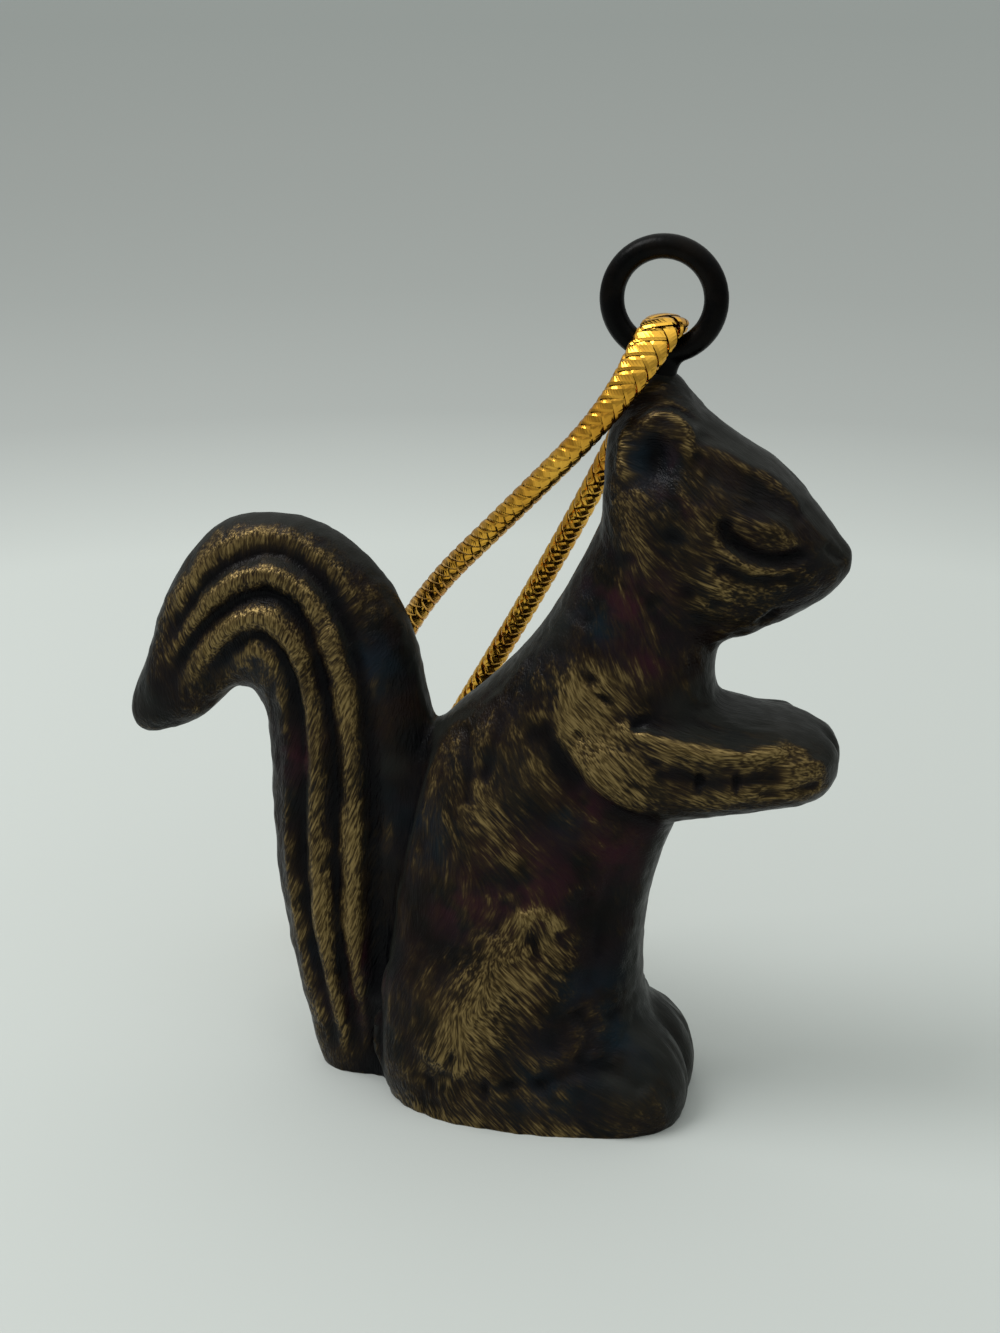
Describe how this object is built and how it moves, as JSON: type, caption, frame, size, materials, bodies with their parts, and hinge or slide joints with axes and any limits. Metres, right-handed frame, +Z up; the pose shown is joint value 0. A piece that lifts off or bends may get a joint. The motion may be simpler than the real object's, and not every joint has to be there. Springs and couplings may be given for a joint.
{
  "type": "squirrel figurine",
  "caption": "Patinated brass squirrel hanging ornament with a hooked, fluted tail, a fixed wire ring on the head and a loop of metallic cord.",
  "frame": {"origin": "middle of the bounding box of the figure and its ring, on the surface that the flat base stands on", "axes": "+Z up along the figure's height, +Y across its thickness, +X from the tail to the nose"},
  "size_m": [0.0612, 0.0488, 0.0752],
  "materials": {
    "patinated_brass": "dark patina, rubbed through on the raised hair",
    "blackened_brass": "smooth blackened wire",
    "metallic_cord": "woven metallised film strip"
  },
  "bodies": {
    "figurine": {"squirrel_casting": "patinated_brass", "hanging_ring": "blackened_brass"},
    "cord_loop": {"hanging_cord": "metallic_cord", "cord_knot": "metallic_cord", "cord_tails": "metallic_cord"}
  },
  "joints": [
    {"name": "loop_swing", "type": "hinge", "parent": "figurine", "child": "cord_loop", "pos_m": [0.01508, 0, 0.07021], "axis": [0, 1, 0], "range_deg": [0, 155]}
  ]
}
